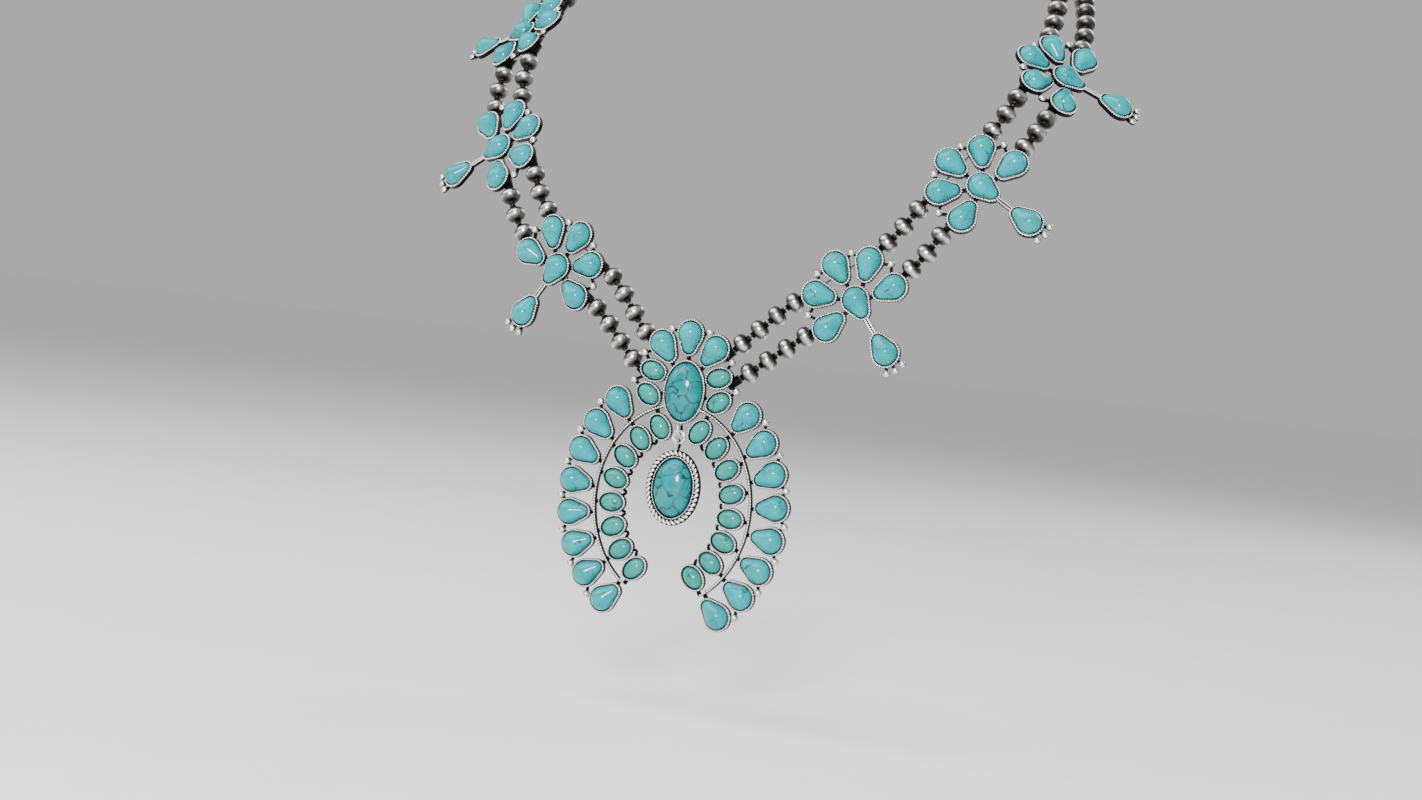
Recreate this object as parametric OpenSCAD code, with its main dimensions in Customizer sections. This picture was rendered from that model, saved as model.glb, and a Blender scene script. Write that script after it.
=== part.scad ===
// Squash blossom necklace in its worn form: a horseshoe pendant (the naja) with a hanging drop,
// six blossoms and two strands of silver beads. The origin is at the nape, the front faces -Y.

/* [Stones] */
// Width of a pear stone
pear_w = 7.8; // [7.4:0.1:8.4]
// Length of a pear stone
pear_l = 10.5; // [10:0.1:11.2]
// Radius of a pear stone's tip
pear_tip_r = 2; // [1:0.1:2.4]
// Height of a pear stone's straight foot, below its dome
pear_foot_h = 0.4; // [0.2:0.1:0.6]
// Width of a small oval stone
small_oval_w = 5.7; // [5:0.1:6]
// Length of a small oval stone
small_oval_l = 8; // [7.4:0.1:8.6]
// Height of a small oval stone
small_oval_h = 2.6; // [2:0.1:3.4]
// Width of the naja's large oval stone
crown_oval_w = 12.9; // [12:0.1:14]
// Length of the naja's large oval stone
crown_oval_l = 19.2; // [18:0.1:20.5]
// Height of the naja's large oval stone
crown_oval_h = 5; // [4:0.1:6.5]
// Width of the drop's oval stone
drop_oval_w = 13.5; // [11:0.1:14]
// Length of the drop's oval stone
drop_oval_l = 19.2; // [17:0.1:20]
// Height of the drop's oval stone
drop_oval_h = 4.8; // [4:0.1:6]

/* [Bezel cups] */
// Space all round between a stone and its cup
stone_gap = 0.1; // [0.05:0.01:0.15]
// Thickness of a cup's wall
cup_wall = 0.35; // [0.25:0.05:0.5]
// Height of a cup's wall above its floor
cup_wall_h = 1.1; // [0.8:0.1:1.4]
// Thickness of the beaded wire round a cup
edge_wire = 0.5; // [0.4:0.05:0.7]
// Thickness of the floor and of the bridges between the cups
floor_t = 0.8; // [0.6:0.1:1.2]
// Width of the stems that hold the balls
stem_w = 0.9; // [0.7:0.1:1.2]
// Diameter of the large silver balls
ball_d = 2.5; // [2:0.1:2.8]
// Diameter of the small silver balls inside the horseshoe
small_ball_d = 1.9; // [1.4:0.1:2.2]

/* [Naja] */
// Half width of the horseshoe, measured to the wire between its two rows
wire_half_w = 27.7; // [26:0.1:30]
// Half height of the same oval
wire_half_h = 32.6; // [31:0.1:35]
// Distance from the large oval's centre down to the horseshoe's centre
horseshoe_drop = 37.2; // [36:0.1:38.5]
// Distance from the wire out to the row of pear stones
outer_row_out = 7.6; // [7.4:0.1:8.2]
// Distance from the wire in to the row of small ovals
inner_row_in = 6.4; // [6.2:0.1:6.8]
// Number of pear stones on each side of the outer row
outer_count = 8; // [5:1:8]
// Number of small ovals on each side of the inner row
inner_count = 8; // [5:1:8]
// Distance between the pear stones, along their row
outer_pitch = 10.4; // [10.2:0.1:10.8]
// Distance between the small ovals, along their row
inner_pitch = 8.05; // [7.9:0.05:8.3]
// Width of the wire between the rows
row_wire_w = 1; // [0.8:0.1:1.4]
// Width of the bridges that join the cups
bridge_w = 1.3; // [1:0.1:2]

/* [Drop] */
// Thickness of the rope round the drop
rope_d = 1.9; // [1.4:0.1:2.4]
// Thickness of the wire of the ring and of the two eyes
link_wire = 0.9; // [0.7:0.05:1.1]
// Inner radius of an eye
eye_hole_r = 1.2; // [1.1:0.05:1.3]
// Inner radius of the ring
ring_hole_r = 1.5; // [1.4:0.05:1.7]
// Space between the ring and an eye
link_gap = 0.12; // [0.08:0.01:0.2]

/* [Blossoms] */
// Distance from a blossom's centre to its top petal
top_petal_r = 13.5; // [13.2:0.1:14.2]
// Distance from a blossom's centre to its two upper petals
upper_petal_r = 13; // [12.7:0.05:13.6]
// Distance from a blossom's centre to its two side petals
side_petal_r = 11.6; // [11.3:0.05:12.2]
// Angle of the upper petals from the drop's direction
upper_petal_angle = 134; // [131:0.5:136]
// Angle of the side petals from the drop's direction
side_petal_angle = 82; // [80:0.5:85]
// Distance from a blossom's centre to the balls between its petals
petal_ball_r = 16.6; // [16.2:0.1:17.6]
// Distance from a blossom's centre to the stone of its drop
blossom_drop_r = 17.6; // [17:0.1:20]
// Width of the bar to the drop
bar_w = 1.4; // [1:0.1:2]
// Distance from a drop's stone to the three balls at its end
end_ball_r = 7.8; // [7.5:0.1:8.4]

/* [Strands] */
// Diameter of a bead
bead_d = 6.9; // [5.5:0.1:7.2]
// Length of a bead's body
bead_body_l = 4.9; // [4.2:0.1:5.2]
// Length of a bead, its two collars with it
bead_l = 6.5; // [6:0.1:6.8]
// Diameter of the hole through a bead
bead_hole_d = 1.2; // [1:0.1:1.6]
// Diameter of the thread
thread_d = 0.7; // [0.5:0.05:0.8]
// Smallest space between two beads
bead_gap = 0.3; // [0.2:0.05:0.4]
// Distance from a blossom's centre up to the upper strand
upper_strand = 11.9; // [11.2:0.1:12.4]
// Distance from a blossom's centre up to the lower strand
lower_strand = 0.3; // [-0.5:0.1:0.8]
// Outer diameter of the tubes that take the thread's ends
tube_d = 3.2; // [2.6:0.1:3.4]
// Width of the clasp
clasp_w = 9; // [8:0.5:14]
// Thickness of the clasp
clasp_t = 3; // [2.4:0.1:4]

/* [Hidden] */
$fn = 48;

// The route of the strands, from the first blossom round to the nape: the place of the line
// through the blossoms' backs, its direction, and the direction out from the body. The left
// side's is written as its mirror image, and the two meet in the stretch behind the neck.
neck_route = [
  [[97, -54, -23], [-0.3, 0.82, 0.48], [0.62, -0.05, 0.78]],
  [[66, -18, -6], [-0.84, 0.5, 0.2], [0.42, 0.45, 0.79]],
  [[0, 0, 0], [-1, 0, 0], [0, 0.9, 0.43]]];
right_route = concat([
  [[53.5, -132.9, -138.5], [0.79, 0.09, 0.61], [0.06, -1, 0.08]],
  [[87.6, -122.7, -97.7], [0.48, 0.41, 0.78], [0.2, -0.91, 0.36]],
  [[102.7, -91, -57.1], [0.03, 0.74, 0.68], [0.51, -0.59, 0.62]]], neck_route);
left_route = concat([
  [[53.8, -134.9, -138], [0.83, 0.14, 0.54], [0.13, -0.99, 0.06]],
  [[87.7, -122.1, -98], [0.47, 0.44, 0.76], [0.3, -0.9, 0.33]],
  [[98.3, -93.4, -53.6], [-0.02, 0.67, 0.74], [0.43, -0.66, 0.61]]], neck_route);
// The large oval's centre on the back of the naja, below and in front of the nape
naja_place = [0, -139.1, -173.4];

silver = [0.78, 0.77, 0.74];
dark_silver = [0.5, 0.49, 0.47];
turquoise = [0.16, 0.74, 0.76];
green_turquoise = [0.32, 0.76, 0.68];

wall_out = stone_gap + cup_wall;
cup_out = wall_out + edge_wire;
edge_h = floor_t + edge_wire;
stone_seat = floor_t + stone_gap;
pear_half = pear_l / 2 + cup_out;
small_oval_half = small_oval_l / 2 + cup_out;

// Directions and splines
function unit(v) = v / norm(v);
function route(side) = side > 0 ? right_route : left_route;
function up_of(s) = unit(cross(s[2], s[1]));
function out_of(s) = unit(cross(s[1], up_of(s)));
function curve_point(a, da, b, db, u) =
  (2 * u ^ 3 - 3 * u ^ 2 + 1) * a + (u ^ 3 - 2 * u ^ 2 + u) * da
  + (3 * u ^ 2 - 2 * u ^ 3) * b + (u ^ 3 - u ^ 2) * db;

// One stone's outline, tip or long axis along +X, grown outwards all round. A cup's straight sides
// lie this little inside the line that touches both arcs, so that they cross the arcs cleanly.
side_inset = 0.012;

module pear_2d(grow = 0, inset = 0) {
  big_r = pear_w / 2;
  big_x = big_r - pear_l / 2;
  tip_x = pear_l / 2 - pear_tip_r;
  a = acos((big_r - pear_tip_r) / (tip_x - big_x));
  touch = [cos(a), sin(a)];
  big_touch = [big_x, 0] + (big_r + grow - inset) * touch;
  tip_touch = [tip_x, 0] + (pear_tip_r + grow - inset) * touch;
  translate([big_x, 0]) circle(r = big_r + grow);
  translate([tip_x, 0]) circle(r = pear_tip_r + grow);
  polygon([
    [big_x, 0], big_touch, tip_touch, [tip_x, 0],
    [tip_touch[0], -tip_touch[1]], [big_touch[0], -big_touch[1]]]);
}

module oval_2d(l, w, grow = 0) {
  scale([l / 2 + grow, w / 2 + grow]) circle(r = 1);
}

// The outline of one kind of stone, "pear", "small", "crown" or "drop", grown outwards all round
module outline_2d(kind, grow) {
  if (kind == "pear") pear_2d(grow, side_inset);
  if (kind == "small") oval_2d(small_oval_l, small_oval_w, grow);
  if (kind == "crown") oval_2d(crown_oval_l, crown_oval_w, grow);
  if (kind == "drop") oval_2d(drop_oval_l, drop_oval_w, grow);
}

module cup_body(kind) {
  linear_extrude(edge_h) outline_2d(kind, cup_out);
  linear_extrude(floor_t + cup_wall_h) outline_2d(kind, wall_out);
}

module cup_pocket(kind) {
  translate([0, 0, floor_t]) linear_extrude(cup_wall_h + 1) outline_2d(kind, stone_gap);
}

module half_space() {
  translate([-50, -50, 0]) cube([100, 100, 50]);
}

module pear_stone() {
  translate([0, 0, stone_seat]) {
    linear_extrude(pear_foot_h) pear_2d();
    translate([0, 0, pear_foot_h]) rotate([90, 0, 90]) rotate_extrude(angle = 180) intersection() {
      rotate(90) pear_2d();
      translate([0, -pear_l]) square([pear_w, 2 * pear_l]);
    }
  }
}

module oval_stone(l, w, h) {
  translate([0, 0, stone_seat]) intersection() {
    scale([l / 2, w / 2, h]) sphere(r = 1);
    half_space();
  }
}

// Puts its child at a place [x, y, turn] of a flat piece
module at(p) {
  translate([p[0], p[1], 0]) rotate(p[2]) children();
}

// A flat bridge from one point to another, on the back of the piece
module bridge_2d(from, to, w) {
  d = to - from;
  translate(from) rotate(atan2(d[1], d[0])) translate([0, -w / 2]) square([norm(d), w]);
}

module ball(d) {
  translate([0, 0, floor_t + d / 8]) sphere(d = d);
}

// A short tube on the back, along a direction, from one distance to another
module thread_tube(start, end) {
  translate([start, 0, -tube_axis]) rotate([0, 90, 0]) cylinder(d = tube_d, h = end - start);
}

module thread_bore(start, end) {
  translate([start - 1, 0, -tube_axis]) rotate([0, 90, 0]) cylinder(d = bead_hole_d, h = end - start + 2);
}

tube_overlap = 0.15;
tube_axis = tube_d / 2 - tube_overlap;

// Naja: places are measured from the large oval's centre, x to the right and y up

row_center = [0, -horseshoe_drop];
outer_half = [wire_half_w + outer_row_out, wire_half_h + outer_row_out];
inner_half = [wire_half_w - inner_row_in, wire_half_h - inner_row_in];
outer_ball_half = outer_half + [1, 1] * (pear_half - ball_d / 2 - 0.15);
inner_ball_half = inner_half - [1, 1] * (small_oval_half - 0.4);
outer_first = 50.5;
wire_first = 83;
wire_last = -60;

// How far inwards and down a stone of the rows points, by its angle on the oval
row_turns = [[-60, -43], [-20, -20], [0, 2], [20, 26], [50, 49], [75, 54]];

// The inner row starts where its first cup leaves the drop's ring room to swing between the two sides
ring_room = 0.45;
first_turn = lookup(70, row_turns);
first_reach = norm([small_oval_half * cos(first_turn), (small_oval_w / 2 + cup_out) * sin(first_turn)]);
inner_first = acos((ring_hole_r + link_wire + ring_room + first_reach) / inner_half[0]);

function on_oval(half, t) = row_center + [half[0] * cos(t), half[1] * sin(t)];
function oval_speed(half, t) = norm([half[0] * sin(t), half[1] * cos(t)]) * PI / 180;
function step_along(half, t, d) =
  let (middle = t - d / 2 / oval_speed(half, t))
  t - d / oval_speed(half, middle);
function row_angle(half, first, pitch, i) =
  i <= 0 ? first : step_along(half, row_angle(half, first, pitch, i - 1), pitch);
function outer_angle(i) = row_angle(outer_half, outer_first, outer_pitch, i);
function inner_angle(i) = row_angle(inner_half, inner_first, inner_pitch, i);
function row_place(half, t) = let (p = on_oval(half, t)) [p[0], p[1], 180 + lookup(t, row_turns)];
outer_places = [for (i = [0 : outer_count - 1]) row_place(outer_half, outer_angle(i))];
inner_places = [for (i = [0 : inner_count - 1]) row_place(inner_half, inner_angle(i))];
outer_ball_angles = [for (i = [0 : outer_count - 2]) (outer_angle(i) + outer_angle(i + 1)) / 2];
inner_ball_angles = [for (i = [0 : inner_count - 2]) (inner_angle(i) + inner_angle(i + 1)) / 2];

// Round the large oval: angle from its top, space to its cup, and how the stone's axis rises
crown_pears = [[0, 1.1, 90], [32, 1.1, 53]];
crown_ovals = [[64, 0.3, 14.5], [100, 0.3, 33]];
function oval_reach(a) =
  1 / norm([sin(a) / (crown_oval_w / 2 + cup_out), cos(a) / (crown_oval_l / 2 + cup_out)]);
function crown_place(row, half) =
  let (r = oval_reach(row[0]) + row[1] + half)
  [r * sin(row[0]), r * cos(row[0]), 180 + row[2]];
top_pear = crown_place(crown_pears[0], pear_half);
side_pear = crown_place(crown_pears[1], pear_half);
side_ovals = [for (row = crown_ovals) crown_place(row, small_oval_half)];

// The balls round the crown: angle from the oval's top, and distance beyond its cup
crown_ball_rows = [
  [18.5, 2 * pear_half - 1.2],
  [54, pear_half + small_oval_half - 0.1],
  [84, 2 * small_oval_half + 1.1]];
crown_balls = [for (row = crown_ball_rows) (oval_reach(row[0]) + row[1]) * [sin(row[0]), cos(row[0])]];
crown_stones = [top_pear, side_pear, side_ovals[0], side_ovals[1]];

// The two tubes for the strands lie under the side pear and the upper small oval: where they
// end, and their direction
upper_tube = [side_pear[0] + (pear_half - 0.3) * cos(11), side_pear[1] + (pear_half - 0.3) * sin(11), 42];
lower_tube = [side_ovals[0][0] + small_oval_half + 1.25, side_ovals[0][1] + 0.6, 37];
tube_l = 4.5;

module on_naja() {
  translate(naja_place) rotate([90, 0, 0]) children();
}

// Places and points of the left side are the right side's mirror images. The pieces put there are
// the same on both sides of their own middle line, so none of them has to be turned over.
function mirrored(p) = [-p[0], p[1], 180 - p[2]];
function side_places(side, places) = side > 0 ? places : [for (p = places) mirrored(p)];
function both_sides(places) = concat(places, side_places(-1, places));
function side_point(side, v) = [side * v[0], v[1], v[2]];

// Stems from a ball to the two stones beside it
module stems_2d(p, a, b) {
  bridge_2d(p, [a[0], a[1]], stem_w);
  bridge_2d(p, [b[0], b[1]], stem_w);
}

module naja_bridges_2d() {
  wire_half = [wire_half_w, wire_half_h];
  for (i = [0 : outer_count - 1])
    bridge_2d([outer_places[i][0], outer_places[i][1]], on_oval(wire_half, outer_angle(i) - 1), bridge_w);
  for (i = [0 : inner_count - 1])
    bridge_2d([inner_places[i][0], inner_places[i][1]], on_oval(wire_half, inner_angle(i)), bridge_w);
  for (i = [0 : outer_count - 2])
    stems_2d(on_oval(outer_ball_half, outer_ball_angles[i]), outer_places[i], outer_places[i + 1]);
  for (i = [0 : inner_count - 2])
    stems_2d(on_oval(inner_ball_half, inner_ball_angles[i]), inner_places[i], inner_places[i + 1]);
  for (i = [0 : 2]) stems_2d(crown_balls[i], crown_stones[i], crown_stones[i + 1]);
  for (p = crown_stones) bridge_2d([0, 0], [p[0], p[1]], bridge_w);
}

module row_wire_2d() {
  grow = [row_wire_w, row_wire_w] / 2;
  translate(row_center) intersection() {
    difference() {
      scale([wire_half_w, wire_half_h] + grow) circle(r = 1);
      scale([wire_half_w, wire_half_h] - grow) circle(r = 1);
    }
    polygon([[0, 0],
      2 * wire_half_w * [cos(wire_last), sin(wire_last)],
      [4 * wire_half_w, 0],
      2 * wire_half_w * [cos(wire_first), sin(wire_first)]]);
  }
}

// An eye in the plane across the piece, with its hole along the row's X
module eye(y) {
  translate([0, y, link_level]) rotate([0, 90, 0]) rotate_extrude()
    translate([eye_hole_r + link_wire / 2, 0]) circle(d = link_wire);
}

module eye_post(from, to) {
  translate([-link_wire / 2, from, 0]) cube([link_wire, to - from, link_level]);
}

link_level = 1.4;
eye_r = eye_hole_r + link_wire / 2;
ring_r = ring_hole_r + link_wire / 2;
link_sink = 0.3;
crown_eye_y = -(crown_oval_l / 2 + cup_out) - eye_r - link_wire / 2 + link_sink;
upper_pivot_y = crown_eye_y - eye_r;
ring_y = upper_pivot_y - ring_hole_r + link_wire / 2 + link_gap;
lower_pivot_y = ring_y - ring_r;
drop_eye_y = lower_pivot_y - eye_hole_r + link_wire / 2 + link_gap;
rope_out = cup_out + rope_d;
drop_y = drop_eye_y - eye_r - link_wire / 2 + link_sink - drop_oval_l / 2 - rope_out;

crown_pear_places = concat([top_pear], both_sides([side_pear]));
crown_oval_places = both_sides(side_ovals);
naja_pear_places = concat(crown_pear_places, both_sides(outer_places));
naja_oval_places = concat(crown_oval_places, both_sides(inner_places));
naja_ball_places = both_sides(concat(
  [for (t = outer_ball_angles) concat(on_oval(outer_ball_half, t), [t])],
  [for (p = crown_balls) concat(p, [atan2(p[1], p[0])])]));
naja_small_ball_places = both_sides(
  [for (t = inner_ball_angles) concat(on_oval(inner_ball_half, t), [180 + t])]);
naja_tube_places = both_sides([upper_tube, lower_tube]);

module naja_cups() {
  at([0, 0, 90]) cup_body("crown");
  for (p = naja_pear_places) at(p) cup_body("pear");
  for (p = naja_oval_places) at(p) cup_body("small");
}

module naja_pockets() {
  at([0, 0, 90]) cup_pocket("crown");
  for (p = naja_pear_places) at(p) cup_pocket("pear");
  for (p = naja_oval_places) at(p) cup_pocket("small");
}

module naja_frame() {
  color(silver) on_naja() difference() {
    union() {
      naja_cups();
      for (flip = [0, 1]) mirror([flip, 0]) {
        linear_extrude(floor_t) naja_bridges_2d();
        linear_extrude(edge_h) row_wire_2d();
      }
      for (p = naja_ball_places) at(p) ball(ball_d);
      for (p = naja_small_ball_places) at(p) ball(small_ball_d);
      for (p = naja_tube_places) at(p) thread_tube(-tube_l, 0);
      eye(crown_eye_y);
      eye_post(crown_eye_y + eye_r, crown_eye_y + eye_r + link_wire);
    }
    naja_pockets();
    for (p = naja_tube_places) at(p) thread_bore(-tube_l, 0);
  }
}

module naja_center_stone() {
  color(turquoise) on_naja() rotate(90) oval_stone(crown_oval_l, crown_oval_w, crown_oval_h);
}

module naja_crown_pear_stones() {
  color(turquoise) on_naja() for (p = crown_pear_places) at(p) pear_stone();
}

module naja_crown_oval_stones() {
  color(green_turquoise) on_naja()
    for (p = crown_oval_places) at(p) oval_stone(small_oval_l, small_oval_w, small_oval_h);
}

module naja_outer_stones(side) {
  color(turquoise) on_naja() for (p = side_places(side, outer_places)) at(p) pear_stone();
}

module naja_inner_stones(side) {
  color(green_turquoise) on_naja()
    for (p = side_places(side, inner_places)) at(p) oval_stone(small_oval_l, small_oval_w, small_oval_h);
}

// The drop and its ring

module drop_ring() {
  color(silver) on_naja() translate([0, ring_y, link_level]) rotate_extrude()
    translate([ring_r, 0]) circle(d = link_wire);
}

module rope_layer(inset, h) {
  linear_extrude(h) difference() {
    outline_2d("drop", rope_out - inset);
    outline_2d("drop", cup_out - edge_wire / 2 + inset);
  }
}

module drop_frame() {
  chamfer = rope_d * 0.25;
  color(silver) on_naja() translate([0, drop_y, 0]) {
    difference() {
      union() {
        rotate(90) {
          linear_extrude(floor_t) outline_2d("drop", cup_out + rope_d / 2);
          cup_body("drop");
          rope_layer(chamfer, rope_d);
          translate([0, 0, chamfer]) rope_layer(0, rope_d - 2 * chamfer);
        }
        eye(drop_eye_y - drop_y);
        eye_post(drop_oval_l / 2 + cup_out, drop_eye_y - drop_y - eye_r);
      }
      rotate(90) cup_pocket("drop");
    }
  }
}

module drop_stone() {
  color(turquoise) on_naja() translate([0, drop_y, 0]) rotate(90)
    oval_stone(drop_oval_l, drop_oval_w, drop_oval_h);
}

// Blossoms: places are measured from the middle stone, x along the strands and y up, away from
// the drop. An angle is measured from the drop's direction.

function spoke(r, a) = r * [sin(a), -cos(a)];
function petal(r, a) = concat(spoke(r, a), [90 + a]);
petal_places = [
  petal(top_petal_r, 180),
  petal(upper_petal_r, upper_petal_angle), petal(upper_petal_r, -upper_petal_angle),
  petal(side_petal_r, side_petal_angle), petal(side_petal_r, -side_petal_angle)];
petal_ball_angles = [
  (180 + upper_petal_angle) / 2, (upper_petal_angle + side_petal_angle) / 2];
end_ball_spread = 22.5;
end_ball_d = ball_d * 0.92;
bar_h = 1.2;

// How far from a blossom's middle the tubes end: just under the edge of the petal there
function petal_edge(r, a, y) =
  let (big = spoke(r + (pear_l - pear_w) / 2, a))
  big[0] + sqrt((pear_w / 2 + cup_out) ^ 2 - (y - big[1]) ^ 2);
function strand_y(high) = high ? upper_strand : lower_strand;
function tube_end(high) = -0.5 + (high
  ? petal_edge(upper_petal_r, upper_petal_angle, upper_strand)
  : petal_edge(side_petal_r, side_petal_angle, lower_strand));

module on_blossom(side, n) {
  s = route(side)[n - 1];
  p = side_point(side, s[0]);
  t = side * side_point(side, unit(s[1]));
  u = side_point(side, up_of(s));
  o = side_point(side, out_of(s));
  multmatrix([
    [t[0], u[0], o[0], p[0]],
    [t[1], u[1], o[1], p[1]],
    [t[2], u[2], o[2], p[2]],
    [0, 0, 0, 1]]) children();
}

module blossom_cups() {
  at([0, 0, -90]) cup_body("pear");
  for (p = petal_places) at(p) cup_body("pear");
  at([0, -blossom_drop_r, 90]) cup_body("pear");
}

module blossom_pockets() {
  at([0, 0, -90]) cup_pocket("pear");
  for (p = petal_places) at(p) cup_pocket("pear");
  at([0, -blossom_drop_r, 90]) cup_pocket("pear");
}

module blossom_bridges_2d() {
  for (p = petal_places) bridge_2d([0, 0], [p[0], p[1]], bridge_w);
  for (i = [0, 1], s = [0, 1])
    stems_2d(spoke(petal_ball_r, (s * 2 - 1) * petal_ball_angles[i]),
      petal_places[i == 0 ? 0 : 2 - s], petal_places[i == 0 ? 2 - s : 4 - s]);
  for (a = [-1, 0, 1] * end_ball_spread)
    bridge_2d([0, -blossom_drop_r], [0, -blossom_drop_r] + spoke(end_ball_r, a), stem_w);
}

module strand_tube(side, high) {
  end = tube_end(high);
  start = side > 0 ? end - tube_l : -end;
  translate([0, strand_y(high), 0]) thread_tube(start, start + tube_l);
}

module strand_bore(high) {
  translate([0, strand_y(high), 0]) thread_bore(-tube_end(high), tube_end(high));
}

module bar_groove() {
  groove_l = blossom_drop_r - 2 * pear_half - 1;
  translate([-bar_w / 6, -blossom_drop_r / 2 - groove_l / 2, bar_h / 2]) cube([bar_w / 3, groove_l, bar_h]);
}

module blossom_frame(side, n) {
  color(silver) on_blossom(side, n) difference() {
    union() {
      blossom_cups();
      linear_extrude(floor_t) blossom_bridges_2d();
      linear_extrude(bar_h) bridge_2d([0, 0], [0, -blossom_drop_r], bar_w);
      for (a = petal_ball_angles, s = [-1, 1]) at(petal(petal_ball_r, s * a)) rotate(180) ball(ball_d);
      for (a = [-1, 0, 1] * end_ball_spread)
        translate([0, -blossom_drop_r]) at(petal(end_ball_r, a)) rotate(180) ball(end_ball_d);
      for (s = [-1, 1], high = [true, false]) strand_tube(s, high);
    }
    blossom_pockets();
    bar_groove();
    for (high = [true, false]) strand_bore(high);
  }
}

module blossom_center_stone(side, n) {
  color(turquoise) on_blossom(side, n) rotate(-90) pear_stone();
}

module blossom_petal_stones(side, n) {
  color(turquoise) on_blossom(side, n) for (p = petal_places) at(p) pear_stone();
}

module blossom_drop_stone(side, n) {
  color(turquoise) on_blossom(side, n) translate([0, -blossom_drop_r, 0]) rotate(90) pear_stone();
}

// Strands: run 0 goes from the naja to the first blossom, run 3 from the third to the clasp. Each
// run is a smooth curve through stops, a stop being a place and a direction.

clasp_middle = (upper_strand + lower_strand) / 2;
function route_stop(side, i, high, along) =
  let (s = route(side)[i], y = strand_y(high) - (i == 5 ? clasp_middle : 0))
  [s[0] + up_of(s) * y - out_of(s) * tube_axis + unit(s[1]) * along, unit(s[1])];
function naja_stop(high) =
  let (p = high ? upper_tube : lower_tube)
  [naja_place + [p[0], tube_axis, p[1]], [cos(p[2]), 0, sin(p[2])]];
function run_stops(side, run, high) =
  let (end = tube_end(high))
  run == 0 ? [naja_stop(high), route_stop(side, 0, high, -end)]
  : run < 3 ? [route_stop(side, run - 1, high, end), route_stop(side, run, high, -end)]
  : [route_stop(side, 2, high, end), route_stop(side, 3, high, 0), route_stop(side, 4, high, 0),
    route_stop(side, 5, high, -clasp_w / 2)];

curve_steps = 12;
function run_points(stops) = concat(
  [for (i = [0 : len(stops) - 2], k = [0 : curve_steps - 1])
    let (a = stops[i], b = stops[i + 1], l = norm(b[0] - a[0]))
    curve_point(a[0], a[1] * l, b[0], b[1] * l, k / curve_steps)],
  [stops[len(stops) - 1][0]]);
function lengths(points, i = 0, sum = 0) =
  i == len(points) - 1 ? [sum]
  : concat([sum], lengths(points, i + 1, sum + norm(points[i + 1] - points[i])));
function place_at(points, sums, d) =
  let (i = max([0, for (k = [0 : len(sums) - 2]) if (sums[k] <= d) k]),
    u = (d - sums[i]) / (sums[i + 1] - sums[i]))
  points[i] + (points[i + 1] - points[i]) * u;

collar_t = 0.5;

module bead() {
  body_r = bead_body_l / 2;
  rotate_extrude() intersection() {
    union() {
      translate([bead_d / 2 - body_r, 0]) circle(r = body_r);
      translate([0, -body_r]) square([bead_d / 2 - body_r, bead_body_l]);
      translate([0, -bead_l / 2]) square([bead_hole_d / 2 + collar_t, bead_l]);
    }
    translate([bead_hole_d / 2, -bead_l]) square([bead_d, 2 * bead_l]);
  }
}

module aim(v) {
  rotate([0, acos(v[2]), atan2(v[1], v[0])]) children();
}

module run_of_beads(side, run, high) {
  points = run_points(run_stops(side, run, high));
  sums = lengths(points);
  total = sums[len(sums) - 1] - bead_gap;
  count = floor(total / (bead_l + bead_gap));
  pitch = total / count;
  half = bead_l / 2;
  for (i = [0 : count - 1]) {
    d = bead_gap / 2 + (i + 0.5) * pitch;
    a = place_at(points, sums, d - half);
    b = place_at(points, sums, d + half);
    translate(side_point(side, a + b) / 2) aim(side_point(side, unit(b - a))) bead();
  }
}

module beads(side, high, runs) {
  color(dark_silver) for (run = runs) run_of_beads(side, run, high);
}

thread_sides = 6;
thread_reach = 3;

module thread(side, high) {
  first = run_stops(side, 0, high)[0];
  last = run_stops(side, 3, high)[3];
  points = [for (p = concat(
    [first[0] - first[1] * thread_reach],
    [for (run = [0 : 3], q = run_points(run_stops(side, run, high))) q],
    [last[0] + last[1] * thread_reach])) side_point(side, p)];
  n = len(points);
  rings = [for (i = [0 : n - 1])
    let (t = unit(points[min(i + 1, n - 1)] - points[max(i - 1, 0)]),
      a = unit(cross([0, 0, 1], t)), b = cross(t, a))
    for (k = [0 : thread_sides - 1])
      points[i] + thread_d / 2 * (a * cos(360 * k / thread_sides) + b * sin(360 * k / thread_sides))];
  color("dimgray") polyhedron(rings, concat(
    [[for (k = [0 : thread_sides - 1]) k]],
    [for (i = [0 : n - 2], k = [0 : thread_sides - 1])
      let (m = (k + 1) % thread_sides)
      [i * thread_sides + k, (i + 1) * thread_sides + k, (i + 1) * thread_sides + m, i * thread_sides + m]],
    [[for (k = [thread_sides - 1 : -1 : 0]) (n - 1) * thread_sides + k]]));
}

module clasp() {
  s = neck_route[2];
  u = up_of(s);
  o = out_of(s);
  strand_gap = upper_strand - lower_strand;
  corner = 1.5;
  h = strand_gap + bead_hole_d + 2 * corner;
  color(silver) multmatrix([
    [1, u[0], o[0], 0],
    [0, u[1], o[1], 0],
    [0, u[2], o[2], 0],
    [0, 0, 0, 1]]) translate([0, 0, -tube_axis]) difference() {
    translate([0, 0, -clasp_t / 2]) linear_extrude(clasp_t) {
      square([clasp_w - 2 * corner, h], center = true);
      square([clasp_w, h - 2 * corner], center = true);
      for (x = [-1, 1], y = [-1, 1])
        translate([x * (clasp_w / 2 - corner), y * (h / 2 - corner)]) circle(r = corner);
    }
    for (y = [-1, 1] * strand_gap / 2)
      translate([-clasp_w, y, 0]) rotate([0, 90, 0]) cylinder(d = bead_hole_d, h = 2 * clasp_w);
  }
}

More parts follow.
